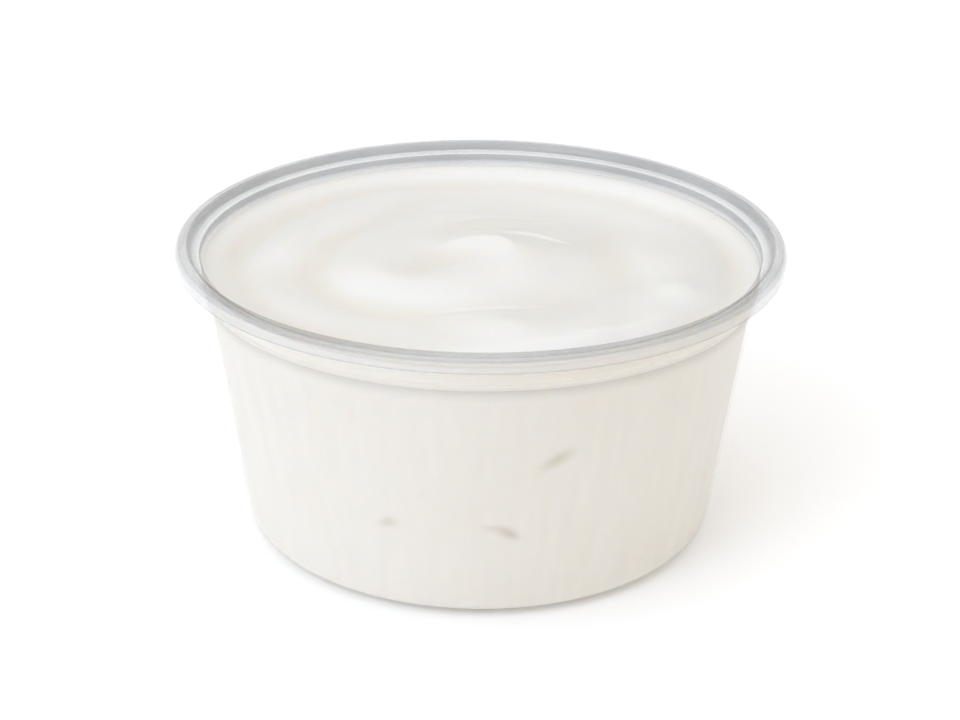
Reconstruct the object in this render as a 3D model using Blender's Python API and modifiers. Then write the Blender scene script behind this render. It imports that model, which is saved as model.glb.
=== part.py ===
"""A small clear plastic portion cup, filled nearly to its rim with sour cream.

The constants are millimetres and degrees, and the objects are built in metres.
+Z is up, and the origin is on the table, under the middle of the cup.
+X is to the right of the shown view and +Y points away from the viewer.
"""

import math

import bpy
import numpy as np

MM = 0.001
SEGMENTS = 64  # flats round a full turn

# Cup, outside sizes
RIM_RADIUS = 31.0
CUP_HEIGHT = 31.0
WALL = 0.4
FOOT_RADIUS = 24.2  # where the line of the side would meet the table
CORNER_RADIUS = 2.4
SHOULDER_HEIGHT = 26.4
SHOULDER_RADIUS = 28.15
SHOULDER_RISE = 0.7
BAND_RADIUS = 28.75  # upright band above the shoulder, where a lid would snap on
LEDGE_HEIGHT = 29.95  # flat step between the band and the rolled rim
LEDGE_BEND = 0.5
BEAD_RADIUS = 0.9  # rounded crest of the rim
SKIRT_DROP = 1.75  # how far the turned-down edge hangs below the crest
SKIRT_LEAN = 0.08
PANEL_RADIUS = 19.6  # raised middle of the floor
PANEL_RISE = 0.8
PANEL_SLOPE = 1.4

# Cream
GAP = 0.3  # between the cream and the cup
CREAM_LEVEL = 27.7
CREAM_EDGE = 28.2  # where the side of the cream ends and its top begins
CREAM_RING_STEP = 1.1
BANK_RADIUS = 23.8  # where the cream starts to climb to the wall
BANK_HEIGHT = 0.95
CALM_RADIUS = 23.9  # the swirl fades out from here to the wall
EDGE_RADIUS = 28.3

# Rounded swells of the top: x, y, half length, half width, turn of the length, height
SWELLS = {
    "mound": (-9.7, -5.0, 18.0, 8.5, 31, 1.07),
    "crest": (2.9, -5.1, 15.1, 6.9, -84, 1.79),
    "crest lip": (0.4, 1.2, 6.1, 2.8, -21, 0.55),
    "hollow behind the crest": (4.7, 14.7, 10.4, 6.4, -23, -1.67),
    "shoulder to the right": (22.5, -9.8, 18.0, 4.9, -56, 0.52),
    "hollow to the right": (14.3, -2.7, 2.6, 10.7, 12, -0.22),
    "left fold": (-6.0, 5.8, 10.5, 2.8, 65, 0.81),
    "far left swell": (-17.3, 8.7, 2.7, 13.2, -29, 0.72),
    "front hump": (1.8, -19.8, 5.0, 2.9, -42, 0.52),
    "front right swell": (3.0, -25.3, 18.0, 10.7, 21, 1.46),
    "front right notch": (14.2, -19.1, 6.7, 2.6, 79, -0.65),
    "right fold": (15.0, -18.5, 5.1, 13.4, -19, 1.8),
    "peak": (19.6, -10.7, 2.6, 3.0, 33, 0.36),
    "far right swell": (20.6, 0.8, 5.7, 10.0, -2, 0.97),
    "front gully": (3.4, -9.9, 7.0, 4.6, -47, -0.67),
}

# Ridges and grooves the spoon drew as parts of spirals: centre x, y, radius at the middle,
# growth of the radius in a quarter turn, middle and half span as angles, half width towards
# the centre and away from it, height
STROKES = {
    "ridge": (-3.7, -1.7, 7.9, -3.0, 213, 99, 3.2, 2.3, 0.38),
    "groove": (3.2, 2.6, 8.0, -6.0, 178, 75, 4.7, 4.7, -0.43),
    "moat": (-6.3, 2.6, 14.1, 6.0, 232, 39, 2.4, 3.1, -0.9),
    "rear arc": (7.4, 4.3, 14.1, 6.0, 125, 71, 2.8, 3.2, 0.77),
    "right arc": (2.7, 4.0, 10.8, 5.9, 64, 52, 3.8, 3.0, 0.76),
    "crest edge": (-2.0, -0.8, 9.6, -6.0, 35, 64, 3.6, 3.7, 0.35),
    "rear ridge": (-0.6, -2.7, 15.5, 6.0, 77, 26, 4.2, 4.8, 0.86),
    "rear trough": (-0.2, 6.6, 10.4, -3.8, 76, 41, 3.0, 2.5, -0.82),
    "front fold": (-1.5, 2.5, 15.3, -6.0, 227, 80, 3.2, 3.1, 0.41),
}
STROKE_EYE = 2.5  # a stroke dies out this near to its own centre

COLLECTION = "sour_cream_cup"


def ease(share):
    """S-shaped rise from 0 to 1."""
    share = np.clip(share, 0.0, 1.0)
    return share * share * (3.0 - 2.0 * share)


def settle(share):
    """A softer S-shaped rise from 0 to 1, which starts and ends without a bend."""
    share = np.clip(share, 0.0, 1.0)
    return share**3 * (10.0 - 15.0 * share + 6.0 * share**2)


def arc(centre, radius, start, end, steps):
    """Points on an arc of an upright section, as (radius, height), with both ends."""
    angles = np.radians(np.linspace(start, end, steps + 1))
    return [
        (centre[0] + radius * math.cos(a), centre[1] + radius * math.sin(a))
        for a in angles
    ]


def step_between(start, end, steps):
    """Points of an S-shaped step between two points, whose first values ease in and out."""
    return [
        (start[0] + (end[0] - start[0]) * ease(s), start[1] + (end[1] - start[1]) * s)
        for s in np.linspace(0.0, 1.0, steps + 1)
    ]


def inside_line():
    """Section of the cup's upper face, from the axis out over the floor, up and over the rim."""
    taper = (SHOULDER_RADIUS - FOOT_RADIUS) / SHOULDER_HEIGHT
    lean = math.atan(taper)
    corner_centre = (
        FOOT_RADIUS + taper * CORNER_RADIUS - CORNER_RADIUS / math.cos(lean),
        CORNER_RADIUS,
    )
    panel_top = PANEL_RISE + WALL
    panel_inner = (panel_top, PANEL_RADIUS - PANEL_SLOPE / 2)
    panel_outer = (WALL, PANEL_RADIUS + PANEL_SLOPE / 2)
    panel_step = [(r, z) for z, r in step_between(panel_inner, panel_outer, steps=3)]
    corner = arc(corner_centre, CORNER_RADIUS - WALL, -90, -math.degrees(lean), steps=5)
    shoulder_low = (SHOULDER_RADIUS - WALL, SHOULDER_HEIGHT)
    shoulder_high = (BAND_RADIUS - WALL, SHOULDER_HEIGHT + SHOULDER_RISE)
    shoulder = step_between(shoulder_low, shoulder_high, steps=4)
    bend_centre = (BAND_RADIUS - WALL + LEDGE_BEND, LEDGE_HEIGHT - LEDGE_BEND)
    ledge = arc(bend_centre, LEDGE_BEND, 180, 90, steps=3)
    bead_centre = (RIM_RADIUS - BEAD_RADIUS, CUP_HEIGHT - BEAD_RADIUS)
    bead = arc(bead_centre, BEAD_RADIUS, 180, 0, steps=8)
    skirt_end = (RIM_RADIUS - SKIRT_LEAN, CUP_HEIGHT - SKIRT_DROP)
    return [(0.0, panel_top)] + panel_step + corner + shoulder + ledge + bead + [skirt_end]


def beside(line, distance):
    """The line moved to the left of its direction, or to the right if distance is negative."""
    line = np.array(line)
    along = np.diff(line, axis=0)
    along /= np.linalg.norm(along, axis=1)[:, None]
    left = np.stack([-along[:, 1], along[:, 0]], axis=1)
    before = np.vstack([left[:1], left])
    after = np.vstack([left, left[-1:]])
    mitre = before + after
    mitre /= (mitre * before).sum(axis=1)[:, None]
    moved = line + mitre * distance
    moved[line[:, 0] == 0.0, 0] = 0.0
    return [tuple(point) for point in moved]


def swell(x, y, centre_x, centre_y, length, width, turn, height):
    """A rounded hump, or a hollow if its height is negative."""
    c, s = math.cos(math.radians(turn)), math.sin(math.radians(turn))
    along = (x - centre_x) * c + (y - centre_y) * s
    across = (y - centre_y) * c - (x - centre_x) * s
    return height * np.exp(-((along / length) ** 2) - (across / width) ** 2)


def stroke(x, y, centre_x, centre_y, radius, growth, middle, half_span, inner, outer, height):
    """A ridge along part of a spiral, or a groove if its height is negative."""
    dx, dy = x - centre_x, y - centre_y
    reach = np.hypot(dx, dy)
    turn = (np.degrees(np.arctan2(dy, dx)) - middle + 180.0) % 360.0 - 180.0
    off_line = reach - radius - growth * turn / 90.0
    off_line /= np.where(off_line > 0.0, outer, inner)
    ends = np.exp(-((turn / half_span) ** 4))
    eye = 1.0 - np.exp(-((reach / STROKE_EYE) ** 4))
    return height * ends * eye * np.exp(-(off_line**2))


def cream_height(x, y):
    """Height of the cream's top over the table, at points in mm."""
    reach = np.hypot(x, y)
    bank = BANK_HEIGHT * settle((reach - BANK_RADIUS) / (EDGE_RADIUS - BANK_RADIUS))
    relief = sum(swell(x, y, *sizes) for sizes in SWELLS.values())
    relief = relief + sum(stroke(x, y, *sizes) for sizes in STROKES.values())
    calm = 1.0 - settle((reach - CALM_RADIUS) / (EDGE_RADIUS - CALM_RADIUS))
    return CREAM_LEVEL + bank + calm * relief


def finish(name, colour, roughness, alpha=1.0):
    """A plain finish with the colour, roughness and opacity of the real surface."""
    made = bpy.data.materials.new(name)
    made.use_nodes = True
    shader = made.node_tree.nodes["Principled BSDF"]
    shader.inputs["Base Color"].default_value = (*colour, 1.0)
    shader.inputs["Roughness"].default_value = roughness
    shader.inputs["Metallic"].default_value = 0.0
    shader.inputs["Alpha"].default_value = alpha
    return made


def turned(name, outline, surface, collection):
    """A surface turned round Z from an outline of (radius, height) points in mm."""
    points = [(r * MM, 0.0, z * MM) for r, z in outline]
    edges = [(i, i + 1) for i in range(len(points) - 1)]
    mesh = bpy.data.meshes.new(name)
    mesh.from_pydata(points, edges, [])
    mesh.materials.append(surface)
    made = bpy.data.objects.new(name, mesh)
    collection.objects.link(made)
    screw = made.modifiers.new("Turn", "SCREW")
    screw.axis = "Z"
    screw.angle = math.tau
    screw.steps = SEGMENTS
    screw.render_steps = SEGMENTS
    screw.use_merge_vertices = True
    screw.merge_threshold = 0.00001
    screw.use_normal_calculate = True
    screw.use_smooth_shade = True
    return made


def make_cup(collection):
    """The cup: one thin wall, from the middle of its floor to the loose edge of its rim."""
    upper = inside_line()
    under = beside(upper, -WALL)
    clear_plastic = finish("clear_plastic", (0.80, 0.83, 0.85), 0.25, alpha=0.4)
    return turned("cup", under + upper[::-1], clear_plastic, collection)


def cream_outline():
    """Outline of the cream: out along its top, then down its side and in along its floor."""
    side = [p for p in beside(inside_line(), GAP) if p[1] < CREAM_EDGE and p[0] < BAND_RADIUS]
    edge_radius = side[-1][0]
    rings = round(edge_radius / CREAM_RING_STEP)
    top = [(edge_radius * i / rings, CREAM_EDGE) for i in range(rings + 1)]
    return top + side[::-1]


def make_cream(collection):
    """The cream: a plug that fits the cup, with the swirl raised on its top."""
    cream_finish = finish("cream", (0.90, 0.87, 0.80), 0.4)
    plain = turned("plain_cream", cream_outline(), cream_finish, collection)
    graph = bpy.context.evaluated_depsgraph_get()
    mesh = bpy.data.meshes.new_from_object(plain.evaluated_get(graph))
    mesh.name = "sour_cream"
    bpy.data.objects.remove(plain)
    points = np.empty(len(mesh.vertices) * 3)
    mesh.vertices.foreach_get("co", points)
    points = points.reshape(-1, 3)
    top = np.isclose(points[:, 2], CREAM_EDGE * MM, atol=1e-6)
    points[top, 2] = cream_height(points[top, 0] / MM, points[top, 1] / MM) * MM
    mesh.vertices.foreach_set("co", points.ravel())
    mesh.update()
    cream = bpy.data.objects.new("sour_cream", mesh)
    collection.objects.link(cream)
    return cream


def main():
    for old in list(bpy.data.objects):
        bpy.data.objects.remove(old)
    collection = bpy.data.collections.new(COLLECTION)
    bpy.context.scene.collection.children.link(collection)
    make_cup(collection)
    make_cream(collection)


main()
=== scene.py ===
import math

import bpy
import numpy as np
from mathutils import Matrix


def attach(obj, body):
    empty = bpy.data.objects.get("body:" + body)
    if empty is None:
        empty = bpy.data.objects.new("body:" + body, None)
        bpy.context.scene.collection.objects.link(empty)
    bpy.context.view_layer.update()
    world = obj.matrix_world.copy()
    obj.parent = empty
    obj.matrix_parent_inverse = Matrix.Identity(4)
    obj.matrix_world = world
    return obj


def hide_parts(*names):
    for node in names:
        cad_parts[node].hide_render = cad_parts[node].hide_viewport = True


# A clear plastic portion cup, filled nearly to its rim with sour cream.
# Sizes are in millimetres and degrees, and meshes are made in metres.
# +Z is up, +X is to the viewer's right and +Y points away from the viewer.

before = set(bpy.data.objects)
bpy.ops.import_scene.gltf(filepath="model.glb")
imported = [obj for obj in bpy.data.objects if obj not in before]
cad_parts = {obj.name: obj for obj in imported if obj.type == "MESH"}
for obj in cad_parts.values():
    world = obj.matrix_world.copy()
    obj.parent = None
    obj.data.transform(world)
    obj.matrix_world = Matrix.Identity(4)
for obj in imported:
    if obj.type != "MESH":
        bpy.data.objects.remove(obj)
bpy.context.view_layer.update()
mm = 0.001

print("frame loaded")


# 3s^2 - 2s^3, held at 0 and 1 outside that range
def ease(share):
    share = np.clip(share, 0.0, 1.0)
    return share * share * (3.0 - 2.0 * share)


# 10s^3 - 15s^4 + 6s^5, held at 0 and 1 outside that range: starts and ends without a bend
def settle(share):
    share = np.clip(share, 0.0, 1.0)
    return share**3 * (10.0 - 15.0 * share + 6.0 * share**2)


# points of an upright arc: centre + radius * (cos a, sin a), for a from start to end
def arc(centre, radius, start, end, steps):
    a = np.radians(np.linspace(start, end, steps + 1))
    return np.stack([centre[0] + radius * np.cos(a), centre[1] + radius * np.sin(a)], axis=1)


# points from start to end, whose first value eases while the second runs evenly
def easedStep(start, end, steps):
    s = np.linspace(0.0, 1.0, steps + 1)
    return np.stack([start[0] + (end[0] - start[0]) * ease(s), start[1] + (end[1] - start[1]) * s], axis=1)


# the line moved sideways by a distance, left of its direction, with mitred corners
def beside(line, distance):
    along = np.diff(line, axis=0)
    along /= np.linalg.norm(along, axis=1)[:, None]
    left = np.stack([-along[:, 1], along[:, 0]], axis=1)
    before = np.vstack([left[:1], left])
    after = np.vstack([left, left[-1:]])
    mitre = before + after
    mitre /= (mitre * before).sum(axis=1)[:, None]
    moved = line + mitre * distance
    moved[line[:, 0] == 0.0, 0] = 0.0
    return moved


# the line cut into pieces no longer than a step, so that a fine mesh follows it evenly
def resampled(line, step):
    out = [line[:1]]
    for a, b in zip(line[:-1], line[1:]):
        count = max(1, int(math.ceil(np.linalg.norm(b - a) / step)))
        s = np.linspace(0.0, 1.0, count + 1)[1:, None]
        out.append(a + (b - a) * s)
    return np.vstack(out)


# a mesh object from grid points (rings, around, 3): quads between rings, a fan at each pole
def ringsToMesh(name, rings, startPole, endPole):
    nRings, around = rings.shape[:2]
    points = rings.reshape(-1, 3)
    j = np.arange(around)
    k = (j + 1) % around
    i = np.arange(nRings - 1)[:, None] * around
    quads = np.stack([i + j, i + k, i + around + k, i + around + j], axis=2).reshape(-1, 4)
    first = len(points)
    points = np.vstack([points, startPole, endPole])
    last = (nRings - 1) * around
    startFan = np.stack([np.full(around, first), k, j], axis=1)
    endFan = np.stack([np.full(around, first + 1), last + j, last + k], axis=1)
    mesh = bpy.data.meshes.new(name)
    mesh.from_pydata((points * mm).tolist(), [], quads.tolist() + startFan.tolist() + endFan.tolist())
    mesh.shade_smooth()
    mesh.update()
    piece = bpy.data.objects.new(name, mesh)
    bpy.context.scene.collection.objects.link(piece)
    return piece


# a section of (radius, height) points carried round Z: (r cos t, r sin t, z)
def turnedRings(section, around):
    t = np.linspace(0.0, math.tau, around, endpoint=False)
    r, z = section[:, :1], section[:, 1:]
    return np.stack([r * np.cos(t), r * np.sin(t), z + 0.0 * t], axis=2)


# wraps a node socket, so that sums on it add Math nodes
class Wire:
    def __init__(self, tree, socket):
        self.tree = tree
        self.socket = socket

    def maths(self, operation, *values):
        made = self.tree.nodes.new("ShaderNodeMath")
        made.operation = operation
        for place, value in enumerate(values):
            feed(self.tree, made.inputs[place], value)
        return Wire(self.tree, made.outputs[0])

    def __add__(self, other):
        return self.maths("ADD", self, other)

    def __radd__(self, other):
        return self.maths("ADD", other, self)

    def __sub__(self, other):
        return self.maths("SUBTRACT", self, other)

    def __rsub__(self, other):
        return self.maths("SUBTRACT", other, self)

    def __mul__(self, other):
        return self.maths("MULTIPLY", self, other)

    def __rmul__(self, other):
        return self.maths("MULTIPLY", other, self)

    def __truediv__(self, other):
        return self.maths("DIVIDE", self, other)

    def exp(self):
        return self.maths("EXPONENT", self)

    def clamped(self):
        made = self.maths("ADD", self, 0.0)
        made.socket.node.use_clamp = True
        return made


def feed(tree, socket, value):
    if isinstance(value, Wire):
        tree.links.new(value.socket, socket)
    else:
        socket.default_value = value


# any node: its settings first, then the values or wires of its sockets, by name or as n and a number
def addNode(tree, kind, settings=None, **values):
    made = tree.nodes.new(kind)
    for key, value in (settings or {}).items():
        setattr(made, key, value)
    for key, value in values.items():
        numbered = key[0] == "n" and key[1:].isdigit()
        place = int(key[1:]) if numbered else key.replace("_", " ")
        feed(tree, made.inputs[place], value)
    return made


def colourMix(tree, share, first, second):
    made = addNode(tree, "ShaderNodeMix", {"data_type": "RGBA"}, n0=share, n6=first, n7=second)
    return Wire(tree, made.outputs[2])


# a new material with one Principled shader, whose plain numbers are set on its own sockets
def newMaterial(name, **plain):
    made = bpy.data.materials.new(name)
    made.use_nodes = True
    shader = made.node_tree.nodes["Principled BSDF"]
    for key, value in plain.items():
        shader.inputs[key.replace("_", " ")].default_value = value
    return made, made.node_tree, shader


cup = {
    "rimRadius": 31.0, "height": 31.0, "wall": 0.4,
    "footRadius": 24.2, "cornerRadius": 2.4,
    "shoulderHeight": 26.4, "shoulderRadius": 28.15, "shoulderRise": 0.7,
    "bandRadius": 28.75, "ledgeHeight": 29.95, "ledgeBend": 0.5,
    "beadRadius": 0.9, "skirtDrop": 1.75, "skirtLean": 0.08,
    "panelRadius": 19.6, "panelRise": 0.8, "panelSlope": 1.4,
    "around": 216, "step": 1.6, "rimStep": 0.12, "rimFrom": 25.4,
    # the smoky colour is painted shade, the dim surroundings seen through the rim; the milky colour is the
    # plastic's own haze
    "smokyShade": (0.2, 0.212, 0.222), "milky": (0.92, 0.91, 0.885),
    # way in over the rim from the top of its bead, haze, and tone from 0 smoky to 1 milky: the dark smoky
    # rings are painted shade and the thin lighter rings between them are painted highlight lines
    "inside": [
        (-2.3, 0.44, 0.3), (-2.2, 0.44, 0.3), (-2.1, 0.34, 0.8), (-1.2, 0.34, 0.8), (-1.08, 0.39, 0.15),
        (-0.95, 0.39, 0.15), (-0.85, 0.35, 0.25), (-0.7, 0.39, 0.2), (-0.58, 0.49, 0.05), (-0.35, 0.45, 0.05),
        (0.2, 0.44, 0.05), (0.35, 0.66, 0.05), (1.3, 0.66, 0.05), (1.42, 0.43, 0.1), (1.7, 0.4, 0.1),
        (2.02, 0.29, 0.2), (2.14, 0.66, 0.05), (2.7, 0.66, 0.05), (2.95, 0.48, 0.1), (3.3, 0.43, 0.2),
        (3.4, 0.06, 1.0)],
    # height on the outside, haze, tone; the two smokier bands at the shoulder step are painted shade lines
    "outside": [
        (0.0, 0.05, 1.0), (25.9, 0.05, 1.0), (26.3, 0.22, 0.45), (26.6, 0.06, 1.0), (26.95, 0.06, 1.0),
        (27.1, 0.18, 0.5), (27.3, 0.05, 1.0), (29.2, 0.06, 1.0), (31.0, 0.06, 1.0)],
    # upright streaks of the side: noise over x, y and z in metres, strength, and where they end
    "streaks": (600.0, 600.0, 24.0), "streakHaze": 0.12, "streakTop": 25.0,
    # patches of the smoky rim: size of the noise and strength
    "patchScale": 110.0, "rimDrift": 0.22,
    # haze, and painted shade that darkens the colour toward the edge of what faces the viewer
    "edgeHaze": 0.22, "edgeBlend": 0.35, "edgeShade": 0.4,
}


# section of the cup's upper face: floor, corner, side, shoulder, band, ledge, rolled rim, skirt
def cupInsideLine(c):
    wall = c["wall"]
    taper = (c["shoulderRadius"] - c["footRadius"]) / c["shoulderHeight"]
    lean = math.atan(taper)
    cornerX = c["footRadius"] + taper * c["cornerRadius"] - c["cornerRadius"] / math.cos(lean)
    panelTop = c["panelRise"] + wall
    half = c["panelSlope"] / 2
    panel = easedStep((panelTop, c["panelRadius"] - half), (wall, c["panelRadius"] + half), 8)[:, ::-1]
    corner = arc((cornerX, c["cornerRadius"]), c["cornerRadius"] - wall, -90, -math.degrees(lean), 12)
    shoulder = easedStep(
        (c["shoulderRadius"] - wall, c["shoulderHeight"]),
        (c["bandRadius"] - wall, c["shoulderHeight"] + c["shoulderRise"]), 8)
    bend = c["ledgeBend"]
    ledge = arc((c["bandRadius"] - wall + bend, c["ledgeHeight"] - bend), bend, 180, 90, 6)
    bead = arc((c["rimRadius"] - c["beadRadius"], c["height"] - c["beadRadius"]), c["beadRadius"], 180, 0, 18)
    skirt = [(c["rimRadius"] - c["skirtLean"], c["height"] - c["skirtDrop"])]
    return np.vstack([[(0.0, panelTop)], panel, corner, shoulder, ledge, bead, skirt])


# fine pieces where the line is in the rim, coarse ones below it
def cutForRim(line):
    low = line[:-1, 1] < cup["rimFrom"]
    steps = np.where(low, cup["step"], cup["rimStep"])
    return np.vstack([line[:1]] + [resampled(line[i:i + 2], steps[i])[1:] for i in range(len(steps))])


# haze and tone of each ring: by height outside, by the way in from the top of the bead inside
def ringFinish(outer, inner):
    heights, haze, tone = np.array(cup["outside"]).T
    outside = np.stack([np.interp(outer[:, 1], heights, haze), np.interp(outer[:, 1], heights, tone)], axis=1)
    steps = np.linalg.norm(np.diff(inner, axis=0), axis=1)
    wayIn = np.concatenate([[0.0], np.cumsum(steps)])
    wayIn -= wayIn[np.argmax(inner[:, 1])]
    places, haze, tone = np.array(cup["inside"]).T
    inside = np.stack([np.interp(wayIn, places, haze), np.interp(wayIn, places, tone)], axis=1)
    return np.vstack([outside, inside])


def makeCup():
    upper = cupInsideLine(cup)
    under = beside(upper, -cup["wall"])
    outer = cutForRim(under[1:])
    inner = cutForRim(upper[:0:-1])
    finish = ringFinish(outer, inner)
    rings = turnedRings(np.vstack([outer, inner]), cup["around"])
    piece = ringsToMesh("clearCup", rings, [[0.0, 0.0, under[0, 1]]], [[0.0, 0.0, upper[0, 1]]])
    for column, name in enumerate(("haze", "tone")):
        values = np.repeat(finish[:, column], cup["around"])
        values = np.concatenate([values, finish[[0, -1], column]])
        made = piece.data.attributes.new(name, "FLOAT", "POINT")
        made.data.foreach_set("value", values.astype(np.float32))
    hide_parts("cup")
    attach(piece, "root")
    return piece


# thin hazy clear plastic, glossy: milky, with painted shade in the rings of the rim and toward the edges of
# what faces the viewer
# alpha = (haze + streaks + patches + haze at the edge), on the faces toward the viewer alone
def clearPlastic():
    made, tree, shader = newMaterial("hazyClearPlastic", Roughness=0.18, IOR=1.49, Metallic=0.0)
    haze = Wire(tree, addNode(tree, "ShaderNodeAttribute", {"attribute_name": "haze"}).outputs["Fac"])
    tone = Wire(tree, addNode(tree, "ShaderNodeAttribute", {"attribute_name": "tone"}).outputs["Fac"])
    edge = addNode(tree, "ShaderNodeLayerWeight", Blend=cup["edgeBlend"])
    facing = Wire(tree, edge.outputs["Facing"])
    behind = Wire(tree, addNode(tree, "ShaderNodeNewGeometry").outputs["Backfacing"])
    where = Wire(tree, addNode(tree, "ShaderNodeTexCoord").outputs["Object"])
    drawn = addNode(tree, "ShaderNodeVectorMath", {"operation": "MULTIPLY"}, n0=where, n1=cup["streaks"])
    noise = addNode(tree, "ShaderNodeTexNoise", Vector=Wire(tree, drawn.outputs[0]), Scale=1.0, Detail=2.0)
    up = Wire(tree, addNode(tree, "ShaderNodeSeparateXYZ", Vector=where).outputs["Z"])
    below = ((cup["streakTop"] * mm - up) / mm).clamped()
    streak = (Wire(tree, noise.outputs["Fac"]) - 0.5) * below * cup["streakHaze"]
    # painted shade: toward the edges of what faces the viewer the colour turns smoky
    share = tone * (1.0 - facing * cup["edgeShade"])
    # painted shade: the smoky colour stands in for the dim surroundings seen through the rim
    base = colourMix(tree, share, (*cup["smokyShade"], 1.0), (*cup["milky"], 1.0))
    feed(tree, shader.inputs["Base Color"], base)
    patches = addNode(tree, "ShaderNodeTexNoise", Vector=where, Scale=cup["patchScale"], Detail=2.0)
    drift = (Wire(tree, patches.outputs["Fac"]) - 0.5) * (1.0 - tone) * cup["rimDrift"]
    whole = haze + streak + drift + facing * tone * cup["edgeHaze"]
    feed(tree, shader.inputs["Alpha"], (whole * (1.0 - behind)).clamped())
    return made


cream = {
    "level": 27.7, "edge": 28.2, "intoWall": 0.06,
    "bankRadius": 23.8, "bankHeight": 0.95, "calmRadius": 23.9, "edgeRadius": 28.3,
    # x, y, half length, half width, turn of the length, height
    "swells": {
        "mound": (-9.7, -5.0, 18.0, 8.5, 31, 1.07),
        "crest": (2.9, -5.1, 15.1, 6.9, -84, 1.79),
        "crestLip": (0.4, 1.2, 6.1, 2.8, -21, 0.55),
        "hollowBehindTheCrest": (4.7, 14.7, 10.4, 6.4, -23, -1.67),
        "shoulderToTheRight": (22.5, -9.8, 18.0, 4.9, -56, 0.52),
        "hollowToTheRight": (14.3, -2.7, 2.6, 10.7, 12, -0.22),
        "leftFold": (-6.0, 5.8, 10.5, 2.8, 65, 0.81),
        "farLeftSwell": (-17.3, 8.7, 2.7, 13.2, -29, 0.72),
        "frontHump": (1.8, -19.8, 5.0, 2.9, -42, 0.52),
        "frontRightSwell": (3.0, -25.3, 18.0, 10.7, 21, 1.46),
        "frontRightNotch": (14.2, -19.1, 6.7, 2.6, 79, -0.65),
        "rightFold": (15.0, -18.5, 5.1, 13.4, -19, 1.8),
        "peak": (19.6, -10.7, 2.6, 3.0, 33, 0.36),
        "farRightSwell": (20.6, 0.8, 5.7, 10.0, -2, 0.97),
        "frontGully": (3.4, -9.9, 7.0, 4.6, -47, -0.67),
    },
    # centre x, y, radius, growth in a quarter turn, middle and half span, half widths in and out, height
    "strokes": {
        "ridge": (-3.7, -1.7, 7.9, -3.0, 213, 99, 3.2, 2.3, 0.38),
        "groove": (3.2, 2.6, 8.0, -6.0, 178, 75, 4.7, 4.7, -0.43),
        "moat": (-6.3, 2.6, 14.1, 6.0, 232, 39, 2.4, 3.1, -0.9),
        "rearArc": (7.4, 4.3, 14.1, 6.0, 125, 71, 2.8, 3.2, 0.77),
        "rightArc": (2.7, 4.0, 10.8, 5.9, 64, 52, 3.8, 3.0, 0.76),
        "crestEdge": (-2.0, -0.8, 9.6, -6.0, 35, 64, 3.6, 3.7, 0.35),
        "rearRidge": (-0.6, -2.7, 15.5, 6.0, 77, 26, 4.2, 4.8, 0.86),
        "rearTrough": (-0.2, 6.6, 10.4, -3.8, 76, 41, 3.0, 2.5, -0.82),
        "frontFold": (-1.5, 2.5, 15.3, -6.0, 227, 80, 3.2, 3.1, 0.41),
    },
    "strokeEye": 2.5,
    # as the strokes, for the fine lines that the spoon left behind the crest
    "ripples": {
        "farLine": (0.0, 0.0, 15.6, -5.3, 92, 24, 0.5, 0.5, -0.07),
        "middleLine": (0.0, 0.0, 13.2, -9.2, 82, 27, 0.5, 0.5, -0.08),
        "nearLine": (0.0, 0.0, 8.2, -1.5, 78, 42, 0.5, 0.6, -0.09),
        "leftLine": (0.0, 0.0, 14.6, -7.0, 133, 20, 0.5, 0.5, -0.06),
        "thread": (4.5, -6.0, 10.75, 0.0, 82, 19, 0.26, 0.3, 0.065),
        "threadShadow": (4.5, -6.0, 9.9, 0.0, 85, 20, 0.5, 0.45, -0.12),
        "crestBrink": (-0.5, -3.0, 5.1, 1.6, 75, 62, 1.6, 0.6, 0.16),
        "frontLine": (1.0, 5.0, 20.5, 0.0, 270, 15, 0.5, 0.6, -0.1),
    },
    # air pockets against the wall: angle from the front, height, half length, half width, slant, depth
    "pockets": {
        "upperRight": (16.3, 18.1, 1.5, 0.55, 27, 0.27),
        "lowerMiddle": (6.7, 10.0, 1.0, 0.42, -28, 0.3),
        "lowerMiddleTail": (3.4, 10.7, 1.7, 0.3, -6, 0.1),
        "lowerLeft": (-20.0, 10.5, 0.9, 0.45, 12, 0.24),
        "upperLeft": (-31.2, 19.9, 0.8, 0.7, 0, 0.05),
    },
    # painted shade, warmer and darker in hollows and on the side: how far off and how far down hollows count
    # in full, how much they add, and how much the side has
    "hollowReach": 3.4, "hollowFull": 0.34, "hollowShare": 0.7, "sideShade": 0.75, "pocketFull": 0.3,
    "cloudScale": 90.0, "cloudShare": 0.5, "grainScale": 1400.0, "grainHeight": 0.12,
    # the first colour is the cream as lit; the second is painted shade for hollows and the side, also used
    # for random mottling; the third is painted shade over the air pockets
    "litCream": (0.905, 0.893, 0.86), "shadeAndMottleTone": (0.86, 0.813, 0.735), "pocketShadeColour": (0.76, 0.715, 0.61),
    "around": 352, "rings": 140, "sideStep": 0.42,
}


# height * exp(-(along / length)^2 - (across / width)^2), turned by an angle
def swell(x, y, centreX, centreY, length, width, turn, height):
    c, s = math.cos(math.radians(turn)), math.sin(math.radians(turn))
    along = (x - centreX) * c + (y - centreY) * s
    across = (y - centreY) * c - (x - centreX) * s
    return height * np.exp(-((along / length) ** 2) - (across / width) ** 2)


# height * exp(-(distance off a spiral / width)^2), dying out at the ends of its span and its eye
def stroke(x, y, centreX, centreY, radius, growth, middle, halfSpan, inWidth, outWidth, height):
    dx, dy = x - centreX, y - centreY
    reach = np.hypot(dx, dy)
    turn = (np.degrees(np.arctan2(dy, dx)) - middle + 180.0) % 360.0 - 180.0
    offLine = reach - radius - growth * turn / 90.0
    offLine = offLine / np.where(offLine > 0.0, outWidth, inWidth)
    ends = np.exp(-((turn / halfSpan) ** 4))
    eye = 1.0 - np.exp(-((reach / cream["strokeEye"]) ** 4))
    return height * ends * eye * np.exp(-(offLine ** 2))


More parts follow.
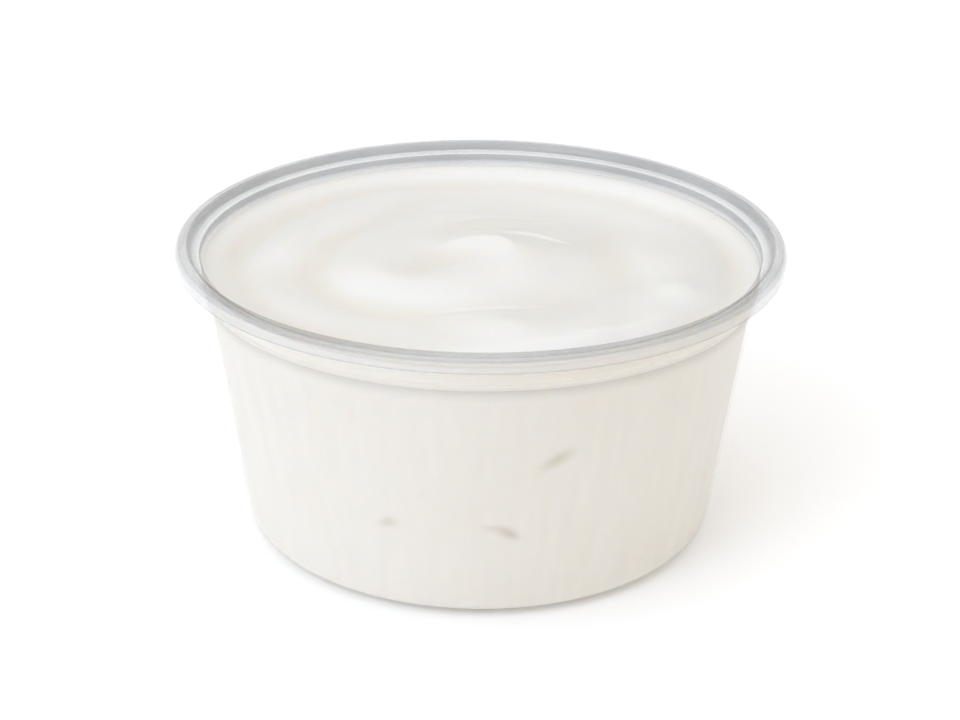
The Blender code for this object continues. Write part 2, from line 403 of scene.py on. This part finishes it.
# level + bank that climbs to the wall + swells, strokes and fine ripples that calm down to the wall
def creamHeight(x, y):
    c = cream
    reach = np.hypot(x, y)
    bank = c["bankHeight"] * settle((reach - c["bankRadius"]) / (c["edgeRadius"] - c["bankRadius"]))
    relief = sum(swell(x, y, *sizes) for sizes in c["swells"].values())
    relief = relief + sum(stroke(x, y, *sizes) for sizes in c["strokes"].values())
    relief = relief + sum(stroke(x, y, *sizes) for sizes in c["ripples"].values())
    calm = 1.0 - settle((reach - c["calmRadius"]) / (c["edgeRadius"] - c["calmRadius"]))
    return c["level"] + bank + calm * relief


# how far each pocket reaches in from the wall: depth * exp(-(along / length)^2 - (across / width)^2)
def pocketDepth(points):
    reach = np.hypot(points[:, :, 0], points[:, :, 1])
    angle = np.degrees(np.arctan2(points[:, :, 0], -points[:, :, 1]))
    depth = np.zeros_like(reach)
    for place, height, length, width, slant, full in cream["pockets"].values():
        across = np.radians(angle - place) * reach
        up = points[:, :, 2] - height
        c, s = math.cos(math.radians(slant)), math.sin(math.radians(slant))
        depth += full * np.exp(-((across * c + up * s) / length) ** 2 - ((up * c - across * s) / width) ** 2)
    return depth


# how concave the top is, as a share of painted shade: mean height at eight points around, less the height in
# the middle
def hollowness(x, y):
    turns = np.radians(np.arange(0.0, 360.0, 45.0))
    reach = cream["hollowReach"]
    near = sum(creamHeight(x + reach * np.cos(t), y + reach * np.sin(t)) for t in turns)
    return np.clip((near / len(turns) - creamHeight(x, y)) / cream["hollowFull"], 0.0, 1.0)


# top: a polar grid lifted to creamHeight; side and floor: the cup's inside, just into its wall
def makeCream():
    c = cream
    side = beside(cupInsideLine(cup), -c["intoWall"])
    side = side[(side[:, 1] < c["edge"]) & (side[:, 0] < cup["bandRadius"])]
    side = resampled(side, c["sideStep"])
    edgeRadius = side[-1, 0]
    radii = edgeRadius * np.linspace(0.0, 1.0, c["rings"] + 1)[1:]
    top = turnedRings(np.stack([radii, 0.0 * radii], axis=1), c["around"])
    top[:, :, 2] = creamHeight(top[:, :, 0], top[:, :, 1])
    below = turnedRings(side[1:-1], c["around"])
    depth = pocketDepth(below)
    below[:, :, :2] *= (1.0 - depth / np.hypot(below[:, :, 0], below[:, :, 1]))[:, :, None]
    rings = np.vstack([below, top[::-1]])
    middle = float(creamHeight(np.zeros(1), np.zeros(1))[0])
    piece = ringsToMesh("creamFilling", rings, [[0.0, 0.0, side[0, 1]]], [[0.0, 0.0, middle]])
    paintedShade = hollowness(top[::-1, :, 0], top[::-1, :, 1])
    # painted shade: on the top by how concave it is, on the whole side at a fixed share, and over the air
    # pockets by their depth
    marks = {
        "paintedShade": np.vstack([np.full_like(depth, c["sideShade"]), paintedShade]),
        "pocket": np.vstack([depth / c["pocketFull"], np.zeros_like(paintedShade)]),
    }
    for name, values in marks.items():
        made = piece.data.attributes.new(name, "FLOAT", "POINT")
        made.data.foreach_set("value", np.concatenate([values.ravel(), [0.0, 0.0]]).astype(np.float32))
    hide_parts("sour_cream")
    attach(piece, "root")
    return piece


# thick cream: warm white, satin, with painted shade that makes it warmer and darker in its hollows and on its
# side, and browner over the air pockets at the wall
def creamMaterial():
    c = cream
    made, tree, shader = newMaterial(
        "sourCream", Roughness=0.38, IOR=1.4, Metallic=0.0,
        Subsurface_Weight=0.5, Subsurface_Scale=0.0012, Subsurface_Radius=(1.0, 0.75, 0.5))
    where = Wire(tree, addNode(tree, "ShaderNodeTexCoord").outputs["Object"])
    paintedShade = Wire(tree, addNode(tree, "ShaderNodeAttribute", {"attribute_name": "paintedShade"}).outputs["Fac"])
    pocket = Wire(tree, addNode(tree, "ShaderNodeAttribute", {"attribute_name": "pocket"}).outputs["Fac"])
    cloud = addNode(
        tree, "ShaderNodeTexNoise", Vector=where, Scale=c["cloudScale"], Detail=3.0, Roughness=0.5)
    drift = (Wire(tree, cloud.outputs["Fac"]) - 0.5) * c["cloudShare"]
    # painted shade in the hollows and on the side, plus random mottling of the cream's tone
    shadeAndMottle = (paintedShade * c["hollowShare"] + drift).clamped()
    base = colourMix(tree, shadeAndMottle, (*c["litCream"], 1.0), (*c["shadeAndMottleTone"], 1.0))
    # painted shade over the air pockets at the wall
    base = colourMix(tree, pocket.clamped(), base, (*c["pocketShadeColour"], 1.0))
    feed(tree, shader.inputs["Base Color"], base)
    grain = addNode(
        tree, "ShaderNodeTexNoise", Vector=where, Scale=c["grainScale"], Detail=4.0, Roughness=0.55)
    height = Wire(tree, grain.outputs["Fac"])
    bump = addNode(tree, "ShaderNodeBump", Strength=0.12, Distance=c["grainHeight"] * mm, Height=height)
    feed(tree, shader.inputs["Normal"], Wire(tree, bump.outputs["Normal"]))
    return made


stage = {
    "floorSize": 3.0, "floorColour": (0.97, 0.97, 0.97), "floorGlow": 0.13,
    # angle round the table from the right, height, spread, colour and strength
    "glows": {
        "key": (-131.0, 38.0, 25.0, (2.89, 3.27, 3.66)),
        "front": (-90.0, 12.0, 8.0, (0.42, 0.2, 0.03)),
        "left": (180.0, 12.0, 8.0, (1.02, 1.07, 1.1)),
        "rear": (100.0, 25.0, 6.0, (0.41, 0.28, 0.08)),
        "right": (0.0, 12.0, 8.0, (1.02, 0.9, 0.7)),
        "top": (0.0, 90.0, 4.0, (1.71, 1.78, 1.9)),
    },
    # the camera: height it looks at, degrees above level, distance, focal length in pixels of the picture
    "aim": 17.05, "elevation": 23.85, "distance": 248.0, "focal": 2382.4, "pictureWidth": 960.0, "roll": 0.51,
}


def makeFloor():
    half = stage["floorSize"] / 2
    mesh = bpy.data.meshes.new("floor")
    corners = [(-half, -half, 0.0), (half, -half, 0.0), (half, half, 0.0), (-half, half, 0.0)]
    mesh.from_pydata(corners, [], [(0, 1, 2, 3)])
    floor = bpy.data.objects.new("floor", mesh)
    bpy.context.scene.collection.objects.link(floor)
    made, tree, shader = newMaterial("paleFloor", Roughness=0.9)
    for name in ("Base Color", "Emission Color"):
        shader.inputs[name].default_value = (*stage["floorColour"], 1.0)
    shader.inputs["Emission Strength"].default_value = stage["floorGlow"]
    mesh.materials.append(made)


# a soft glow from one side: colour * exp(spread * (cosine of the angle to its middle - 1))
def glow(tree, direction, angle, height, spread, colour):
    a, e = math.radians(angle), math.radians(height)
    middle = (math.cos(a) * math.cos(e), math.sin(a) * math.cos(e), math.sin(e))
    near = addNode(tree, "ShaderNodeVectorMath", {"operation": "DOT_PRODUCT"}, n0=direction, n1=middle)
    strength = ((Wire(tree, near.outputs["Value"]) - 1.0) * spread).exp()
    lit = addNode(tree, "ShaderNodeVectorMath", {"operation": "SCALE"}, n0=colour, Scale=strength)
    return Wire(tree, lit.outputs["Vector"])


# a pale room: a soft key from the left front, a broad light above and weak fills round it
def makeLight():
    world = bpy.data.worlds.new("softRoom")
    world.use_nodes = True
    tree = world.node_tree
    direction = Wire(tree, addNode(tree, "ShaderNodeTexCoord").outputs["Generated"])
    first, *rest = [glow(tree, direction, *sizes) for sizes in stage["glows"].values()]
    total = first
    for part in rest:
        added = addNode(tree, "ShaderNodeVectorMath", {"operation": "ADD"}, n0=total, n1=part)
        total = Wire(tree, added.outputs["Vector"])
    feed(tree, tree.nodes["Background"].inputs["Color"], total)
    bpy.context.scene.world = world


def makeCamera():
    lens = bpy.data.cameras.new("camera")
    lens.sensor_width = 36.0
    lens.lens = stage["focal"] / stage["pictureWidth"] * lens.sensor_width
    lens.clip_start = 0.01
    camera = bpy.data.objects.new("camera", lens)
    e = math.radians(stage["elevation"])
    d = stage["distance"] * mm
    camera.location = (0.0, -math.cos(e) * d, stage["aim"] * mm + math.sin(e) * d)
    camera.rotation_euler = (math.radians(90.0) - e, 0.0, 0.0)
    camera.rotation_euler.rotate_axis("Z", math.radians(stage["roll"]))
    bpy.context.scene.collection.objects.link(camera)
    bpy.context.scene.camera = camera


makeCamera()
makeFloor()
makeLight()
print("stage ready")

cupPiece = makeCup()
cupPiece.data.materials.append(clearPlastic())
print("cup made:", len(cupPiece.data.polygons), "faces")

creamPiece = makeCream()
creamPiece.data.materials.append(creamMaterial())
print("cream made:", len(creamPiece.data.polygons), "faces")

bpy.context.scene.view_settings.view_transform = "Standard"
